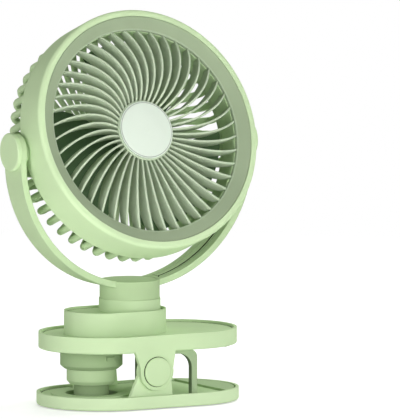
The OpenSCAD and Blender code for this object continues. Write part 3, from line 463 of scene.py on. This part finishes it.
# each chip's place on the board, its width, height and thickness
for x, z, wide, high, thick in ((20, 2, 5, 5, 1), (8, 1.5, 4, 6, 1), (14.5, 3, 3, 3, 1.2)):
    left, foot = lo[0] + x, lo[2] + z
    block(mesh, (left, inner - thick, foot), (left + wide, inner + 0.1, foot + high), 0.15, 1)
    # four legs on each side, which run through under the chip
    for i in range(4):
        at = foot + high * (i + 0.5) / 4
        block(mesh, (left - 0.6, inner - 0.3, at - 0.2), (left + wide + 0.6, inner, at + 0.2), 0.05, 2)
# ceramic capacitors and resistors, 1.6 mm long
for x, z in ((2, 2), (2, 5), (5, 2.5), (27, 2), (27, 5), (29.5, 3.5)):
    left, foot = lo[0] + x, lo[2] + z
    block(mesh, (left, inner - 0.7, foot), (left + 1.6, inner, foot + 1), 0.08, 2)
    block(mesh, (left + 0.35, inner - 0.75, foot), (left + 1.25, inner, foot + 1.02), 0.05, 1)
made("populated_board", mesh, [solder_mask, epoxy, tin], "clamp", "control_board")

# Charging socket: a shell drawn from stainless sheet, smooth and bright, which opens in the
# housing's back wall, and in it a flat moulded tongue that carries the contacts.
stainless = metal("drawn_stainless", "#C4C5C6", 0.26)
wear(stainless, "charge_port")
lo, hi = box_of("charge_port")
mesh = bmesh.new()
level, half_t, aside = (lo[2] + hi[2]) / 2, 0.35, 1.4
block(mesh, (lo[0] + aside, lo[1] + 0.5, level - half_t), (hi[0] - aside, hi[1] - 0.9, level + half_t),
      0.15, 0)
made("socket_tongue", mesh, [epoxy], "clamp")

# Neck: a hollow ABS turret on the collar. Its wall runs up flush with the yoke's disc, and its
# spigot goes down through the collar to a washer and a zinc-plated nut.
lo, hi = box_of("neck")
disc_top = box_of("neck_cover")[1][2]
foot, r, wall, floor_t, spigot, bore, skin = 79.42, hi[0] + 0.04, 2.4, 2.5, 9.0, 6.5, 0.1
mesh = bmesh.new()
turned(mesh, [(bore, lo[2]), (spigot - 0.4, lo[2]), (spigot, lo[2] + 0.4), (spigot, foot),
              (r - 0.1, foot), (r, foot + 0.1), (r, disc_top - 0.9), (r - 0.1, disc_top - 0.7),
              (r - wall, disc_top - wall), (r - wall, foot + floor_t), (spigot, foot + floor_t),
              (spigot, hi[2] - skin), (bore, hi[2] - skin), (bore, lo[2])], 96)
# the neck is drawn darker than the collar, as painted shade under the yoke and the head
shaded_neck_abs = moulded_abs("shaded_neck_green_abs", "#B8CFA2", edge=0.15)
made("neck_turret", mesh, [shaded_neck_abs], "yoke_arm", "neck")
wear(zinc, "swivel_nut")
wear(panel_abs, "neck_cover")

# Yoke: a half ring of ABS with a strip let into the inside of each arm, which hides the ribs of
# the moulding, and a round knob over each tilt joint.
# the yoke is drawn a little darker than the jaws' green, as painted shade under the head
shaded_yoke_abs = moulded_abs("shaded_yoke_green_abs", "#C5DCAF", edge=1.4)
wear(shaded_yoke_abs, "yoke")
# each strip is in two lengthwise parts with a seam between them, and stands in a channel with a narrow
# gap on both sides; a dark strip laid under them paints the shade in the seam and the gaps
yoke_z, yoke_r, half, gap = 187.3, 95.4, 5.3, 0.3
seam_front, seam_back = -3.0, -1.2
face_d, back_d, floor_d, under_d = 0.1, 1.5, 1.2, 1.55
low_end, high_end = math.radians(14.4), math.radians(83.6)
mesh = bmesh.new()
for side in (-1, 1):
    for front, rear, top, bottom, slot in ((gap - half, seam_front, face_d, back_d, 0),
                                           (seam_back, half - gap, face_d, back_d, 0),
                                           (-half, half, floor_d, under_d, 1)):
        part = bmesh.new()
        corners = [part.verts.new((0, y, yoke_z - yoke_r - d))
                   for y, d in ((front, top), (rear, top), (rear, bottom), (front, bottom))]
        part.faces.new(corners)
        bmesh.ops.rotate(part, verts=part.verts, cent=(0, 0, yoke_z),
                         matrix=Matrix.Rotation(-side * low_end, 3, "Y"))
        bmesh.ops.spin(part, geom=part.verts[:] + part.edges[:] + part.faces[:], cent=(0, 0, yoke_z),
                       axis=(0, -side, 0), steps=64, angle=high_end - low_end)
        joined(mesh, part, Matrix(), 30, slot)
# the strips' sides stand in the gaps and are painted as dark as their shade
for face in mesh.faces:
    if abs(face.normal.y) > 0.7:
        face.material_index = 1
made("strip_pair", mesh, [panel_abs, gap_abs], "yoke_arm", "yoke_strips")
wear(leaf_abs, "knobs")

# Tilt joint: on each side a turned stainless pin runs through the yoke's end into the head's
# boss, with a moulded washer between the two that lets the head tilt stiffly and smoothly.
wear(stainless, "tilt_pins")
wear(panel_abs, "tilt_washers")

# Front housing: the head's outer wall, front lip and air duct, with the bosses for the tilt
# pins, in one deep ABS moulding that carries the rest of the head.
wear(leaf_abs, "front_housing")

# Front grille: a cone, a hub ring and 44 swept vanes in one moulding of a greyer, matt ABS, and
# the polished cap that snaps into the hub.
grille_abs = moulded_abs("sage_green_abs", "#9FAF90", edge=0.4)
# in the head's own frame z is its axis, which points forwards and 19.5 degrees up and runs a
# little above the tilt pins
lo, hi = box_of("tilt_pins")
pivot, lean, above = (lo[2] + hi[2]) / 2, math.radians(70.5), 4.7
in_head = (Matrix.Translation((0, 0, pivot)) @ Matrix.Rotation(lean, 4, "X") @
           Matrix.Translation((0, above, 0)))


def from_axis(tree):
    """The distance of a point from the head's axis, in metres."""
    seen = add(tree, "Mapping", {"Rotation": (-lean, 0, 0),
                                 "Location": in_head.inverted().translation / 1000},
               {"Vector": add(tree, "TexCoord").outputs["Object"]})
    flat = add(tree, "VectorMath", {"operation": "MULTIPLY", 1: (1, 1, 0)},
               {0: seen.outputs["Vector"]})
    away = add(tree, "VectorMath", {"operation": "LENGTH"}, {0: flat.outputs["Vector"]})
    return away.outputs["Value"]


# the vanes, within the mouth's radius, take more light than the cone and are drawn paler
vanes_r, cone_r = 0.0765, 0.079
tree = grille_abs.node_tree
band = add(tree, "MapRange", {"From Min": vanes_r, "From Max": cone_r}, {"Value": from_axis(tree)})
colour = tree.nodes["Principled BSDF"].inputs["Base Color"]
paler = add(tree, "Mix", {"data_type": "RGBA", "blend_type": "MIX"},
            {0: band.outputs["Result"], 7: colour.links[0].from_socket})
paler.inputs[6].default_value = linear("#C3D2B6")
tree.links.new(colour, paler.outputs[2])
wear(grille_abs, "front_grille")
cap_abs = moulded_abs("pale_cap_abs", "#E0ECDD", rough=0.35, gloss=0.5)
# a fine groove runs round the cap, just inside its edge; its shade is painted as a dark ring in the
# material, with no groove in the shape
lo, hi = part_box("hub_cap")
groove_r, groove_half = (hi[0] - lo[0]) / 2 - 0.0009, 0.0002
tree = cap_abs.node_tree
near = add(tree, "Math", {"operation": "SUBTRACT", 1: groove_r}, {0: from_axis(tree)})
near = add(tree, "Math", {"operation": "ABSOLUTE"}, {0: near.outputs["Value"]})
groove = add(tree, "MapRange", {"From Min": 2 * groove_half, "From Max": groove_half},
             {"Value": near.outputs["Value"]})
paint_shade(cap_abs, 0.55, groove.outputs["Result"])
wear(cap_abs, "hub_cap")

# Rear cage: 50 tapered rods that sweep out from the rear plate and turn a round corner to the
# ring inside the housing, moulded with the plate and the motor's cup in pale green ABS.
cage_r, corner, cage_back, plate_z = 90.0, 9.0, -27.0, -31.0
ring_low, ring_high, duct_r = 2.0, 5.7, 77.2
rods, rod_r, root_r, start_r, sweep, bow = 50, 2.8, 1.5, 23.0, math.radians(16), 5.0
steps, bends, fade = 24, 8, 20
spine = bpy.data.curves.new("rear_rods", "CURVE")
spine.dimensions = "3D"
spine.bevel_depth, spine.bevel_resolution, spine.use_fill_caps = 1.0, 3, True
far = Vector((cage_r * math.cos(sweep), cage_r * math.sin(sweep)))
chord = far - Vector((start_r, 0))
arc_r = (chord.length ** 2 / 4 + bow ** 2) / (2 * bow)
along = chord.normalized()
centre = (far + Vector((start_r, 0))) / 2 + (arc_r - bow) * Vector((-along.y, along.x))
first = math.atan2(-centre.y, start_r - centre.x)
last = math.atan2(far.y - centre.y, far.x - centre.x)
inner = cage_r - corner
for i in range(rods):
    turn = Matrix.Rotation(2 * math.pi * (i + 0.5) / rods, 3, "Z")
    path, passed = [], []
    for k in range(steps + 1):
        angle = first + (last - first) * k / steps
        x, y = centre.x + arc_r * math.cos(angle), centre.y + arc_r * math.sin(angle)
        out = math.hypot(x, y)
        share = (out - start_r) / (inner - start_r)
        if share > 1:
            break
        thick = root_r + (rod_r - root_r) * share
        path.append((x, -y, plate_z + (cage_back - plate_z) * share + thick, thick))
        passed.append((math.atan2(y, x), out))
    # the round corner, where the sweep fades out
    (before, from_r), (tail, to_r) = passed[-2:]
    slope = (tail - before) / (to_r - from_r)
    for k in range(1, bends + 1):
        bend = math.pi / 2 * k / bends
        out = inner + (corner - rod_r) * math.sin(bend)
        angle = tail + slope * (corner - rod_r) * bend * (1 - k / fade)
        path.append((out * math.cos(angle), -out * math.sin(angle),
                     cage_back + corner - (corner - rod_r) * math.cos(bend), rod_r))
    path.append((path[-1][0], path[-1][1], ring_low + 1, rod_r))
    line = spine.splines.new("POLY")
    line.points.add(len(path) - 1)
    for point, (x, y, z, thick) in zip(line.points, path):
        point.co = (*(turn @ Vector((x, y, z))), 1)
        point.radius = thick
holder = bpy.data.objects.new("rear_rods", spine)
data = bpy.data.meshes.new_from_object(holder)
part = bmesh.new()
part.from_mesh(data)
bpy.data.objects.remove(holder)
bpy.data.curves.remove(spine)
bpy.data.meshes.remove(data)
mesh = bmesh.new()
joined(mesh, part, in_head, 50)
turned(mesh, [(duct_r, ring_low), (cage_r - 0.3, ring_low), (cage_r, ring_low + 0.3), (cage_r, ring_high),
              (duct_r, ring_high), (duct_r, ring_low)], 144, in_head)
# the rear plate with the motor's cup on it
cup_in, cup_r, cup_top, plate_r = 14.3, 16.4, plate_z + 12, 25
plate_top, cup_floor = plate_z + 5, plate_z + 2.4
turned(mesh, [(cup_in, cup_floor), (cup_in, cup_top), (cup_r - 0.4, cup_top), (cup_r, cup_top - 0.4),
              (cup_r, plate_top), (plate_r - 0.6, plate_top), (plate_r, plate_top - 0.6),
              (plate_r, plate_z), (0, plate_z), (0, cup_floor), (cup_in, cup_floor)], 96, in_head)
cage_abs = moulded_abs("cage_green_abs", "#C6DDB0", edge=0.3)
made("rear_rods", mesh, [cage_abs], "head", "rear_cage")
wear(leaf_abs, "rear_cap")

# Screws of the cage: four more tapping screws, zinc plated like the clip's, driven from behind
# into the housing's posts.
mesh = bmesh.new()
for lo, hi in solids_of("cage_screws", in_head):
    place = in_head @ Matrix.Translation(((lo[0] + hi[0]) / 2, (lo[1] + hi[1]) / 2, lo[2]))
    pan_screw(mesh, place, head_r=(hi[0] - lo[0]) / 2, head_t=1.2, shank_r=1.1,
              length=hi[2] - lo[2])
made("cage_screw_set", mesh, [zinc], "head", "cage_screws")

# Motor: a brushed direct-current motor in a deep-drawn zinc-plated can, with a black end bell
# and a ground steel shaft.
lo, hi = solids_of("motor", in_head)[0]
r, low, high = (hi[0] - lo[0]) / 2, lo[2], hi[2]
bell_h, rim_r, bush_r = 3, 5, 1.8
mesh = bmesh.new()
turned(mesh, [(r - 0.3, low + bell_h), (r, low + bell_h + 0.3), (r, high - 1.2), (r - 1.2, high),
              (rim_r, high), (rim_r, high - 0.6), (bush_r, high - 0.6), (bush_r, high - 2)],
       72, in_head)
canned = len(mesh.faces)
turned(mesh, [(0, low), (r - 1.4, low), (r - 0.6, low + 0.8), (r - 0.6, low + bell_h + 0.2)],
       72, in_head)
mesh.faces.ensure_lookup_table()
for face in mesh.faces[canned:]:
    face.material_index = 1
made("drawn_motor", mesh, [zinc, epoxy], "head", "motor")
wear(stainless, "motor_shaft")

# Impeller: three broad twisted blades on a cup that covers the motor, moulded in ABS and drawn dark green
# as painted shade, the shade inside the head that shows through the vanes. Impeller: three broad twisted
# blades on a cup that covers the motor, moulded in dark green ABS so that it doesn't show through the
# vanes.
blade_abs = moulded_abs("shade_painted_blade_abs", "#5C7655", rough=0.5, edge=0.3)
hub_r, hub_low, hub_high, hub_wall, boss_r, bore = 19.0, -12.6, 16.7, 2, 4.5, 1.5
blades, first_blade, blade_r, blade_h, blade_mid, thick = 3, 67, 71.5, 25.0, 0.5, 1.6
root_r, wide, skew, camber = hub_r - 1.5, 88.0, 14, 2.6
mesh = bmesh.new()
for i in range(blades):
    part = bmesh.new()
    bmesh.ops.create_grid(part, x_segments=28, y_segments=20, size=0.5)
    for point in part.verts:
        # u runs from the hub to the tip, v across the blade
        v, u = point.co.x + 0.5, point.co.y + 0.5
        out = root_r + (blade_r - root_r) * u
        # the blade widens outwards, and its corners are rounded off at the tip
        width = wide * (0.82 + 0.18 * math.sin(math.pi / 2 * u)) * math.sqrt(1 - 0.25 * u ** 6)
        angle = math.radians(width * (v - 0.5) + skew * u * u)
        # it rises across its width, least at the hub, and is cambered, least at the tip
        z = (blade_mid + blade_h * (v - 0.5) * (0.62 + 0.38 * u)
             + camber * math.sin(math.pi * v) * (1 - 0.4 * u))
        point.co = (out * math.cos(angle), out * math.sin(angle), z - thick / 2)
    bmesh.ops.recalc_face_normals(part, faces=part.faces)
    bmesh.ops.solidify(part, geom=part.faces[:], thickness=thick)
    angle = math.radians(first_blade + 360 / blades * i)
    joined(mesh, part, in_head @ Matrix.Rotation(angle, 4, "Z"), 35)
turned(mesh, [(bore, hub_high - 1.5), (0, hub_high - 1.5), (0, hub_high), (hub_r - 1.5, hub_high),
              (hub_r - 0.4, hub_high - 0.4), (hub_r, hub_high - 1.5), (hub_r, hub_low),
              (hub_r - hub_wall, hub_low), (hub_r - hub_wall, hub_high - hub_wall),
              (boss_r, hub_high - hub_wall), (boss_r, hub_low + 6), (bore, hub_low + 6),
              (bore, hub_high - 1.5)], 96, in_head)
made("twisted_blades", mesh, [blade_abs], "rotor", "impeller")

# Studio: a pale paper floor that runs out to white, four round soft lamps, a wash on the floor,
# and a dim white world that the camera and the gloss see as plain white.
floor_mesh = bmesh.new()
bmesh.ops.create_grid(floor_mesh, x_segments=1, y_segments=1, size=40)
data = bpy.data.meshes.new("floor")
floor_mesh.to_mesh(data)
floor_mesh.free()
floor = bpy.data.objects.new("floor", data)
bpy.context.scene.collection.objects.link(floor)
floor.location.z = -0.0002


def white_ray(tree):
    """1 for the rays of the camera, of gloss and of glass, and 0 for those that carry light."""
    rays = add(tree, "LightPath")
    seen = add(tree, "Math", {"operation": "MAXIMUM"},
               {0: rays.outputs["Is Camera Ray"], 1: rays.outputs["Is Glossy Ray"]})
    through = add(tree, "Math", {"operation": "MAXIMUM"},
                  {0: seen.outputs["Value"], 1: rays.outputs["Is Transmission Ray"]})
    return through.outputs["Value"]


paper = bpy.data.materials.new("matt_paper")
paper.use_nodes = True
tree = paper.node_tree
lit = tree.nodes["Principled BSDF"]
lit.inputs["Base Color"].default_value = (0.9, 0.9, 0.9, 1)
lit.inputs["Roughness"].default_value = 0.8
lit.inputs["Specular IOR Level"].default_value = 0
lift = add(tree, "Math", {"operation": "MULTIPLY", 1: 0.45}, {0: white_ray(tree)})
tree.links.new(lit.inputs["Emission Strength"], lift.outputs["Value"])
lit.inputs["Emission Color"].default_value = (1, 1, 1, 1)
# the paper keeps the shadow near the object and is plain white from about a metre away
away = add(tree, "VectorMath", {"operation": "LENGTH"}, {0: add(tree, "TexCoord").outputs["Object"]})
far = add(tree, "MapRange", {"interpolation_type": "SMOOTHSTEP", "From Min": 0.3, "From Max": 1.2},
          {"Value": away.outputs["Value"]})
whole = add(tree, "Math", {"operation": "MULTIPLY"}, {0: far.outputs["Result"], 1: white_ray(tree)})
blank = add(tree, "Emission", {"Color": (1, 1, 1, 1), "Strength": 1.0})
mixed = add(tree, "MixShader", {}, {0: whole.outputs["Value"], 1: lit.outputs["BSDF"],
                                    2: blank.outputs["Emission"]})
tree.links.new(tree.nodes["Material Output"].inputs["Surface"], mixed.outputs["Shader"])
data.materials.append(paper)

world = bpy.data.worlds.new("studio")
bpy.context.scene.world = world
world.use_nodes = True
tree = world.node_tree
glow = tree.nodes["Background"]
glow.inputs["Color"].default_value = (1, 1, 1, 1)
level = add(tree, "MapRange", {"To Min": 0.24, "To Max": 1.0}, {"Value": white_ray(tree)})
tree.links.new(glow.inputs["Strength"], level.outputs["Result"])
middle = Vector((0, 0, 0.15))


def towards(azimuth, elevation):
    """The direction at degrees right of the front and above the floor, seen from the object."""
    turn, rise = math.radians(azimuth), math.radians(elevation)
    return Vector((math.sin(turn) * math.cos(rise), -math.cos(turn) * math.cos(rise), math.sin(rise)))


def lamp(name, azimuth, elevation, share, away=2.0, size=1.1):
    """A round soft lamp that gives a surface facing it the share of the full plain level."""
    way = towards(azimuth, elevation)
    light = bpy.data.lights.new(name, "AREA")
    light.shape = "DISK"
    light.size, light.energy = size, share * (math.pi * away) ** 2
    thing = bpy.data.objects.new(name, light)
    bpy.context.scene.collection.objects.link(thing)
    thing.location = middle + way * away
    thing.rotation_euler = way.to_track_quat("Z", "Y").to_euler()


lamp("key", -4, 6, share=0.47)
lamp("side", -75, 6, share=0.33)
lamp("back", 145, 18, share=0.5)
lamp("top", 95, 40, share=0.35)
# a wash on the floor in front, whose bounce lifts the undersides
wash = bpy.data.lights.new("wash", "AREA")
wash.shape, wash.size, wash.energy, wash.spread = "DISK", 0.7, 5.5, math.radians(70)
washer = bpy.data.objects.new("wash", wash)
bpy.context.scene.collection.objects.link(washer)
washer.location = (-0.35, -0.75, 0.9)

# Camera: a long lens from 29.5 degrees left of the front and 6 degrees up, as the photograph
# was fitted. The picture is 400 by 420 pixels, at 1331 pixels to the metre, and the object's
# middle stands in it at 129.6, 204.1.
back, reach = towards(-29.5, 6), 8.0
wide, high, per_metre, middle_x, middle_y = 400, 420, 1331, 129.6, 204.1
lens = bpy.data.cameras.new("camera")
lens.lens = per_metre * reach * lens.sensor_width / high
lens.shift_x, lens.shift_y = (wide / 2 - middle_x) / high, -(high / 2 - middle_y) / high
lens.clip_end = 100
camera = bpy.data.objects.new("camera", lens)
bpy.context.scene.collection.objects.link(camera)
camera.location = middle + back * reach
camera.rotation_euler = (-back).to_track_quat("-Z", "Y").to_euler()
bpy.context.scene.camera = camera
bpy.context.scene.view_settings.view_transform = "Standard"
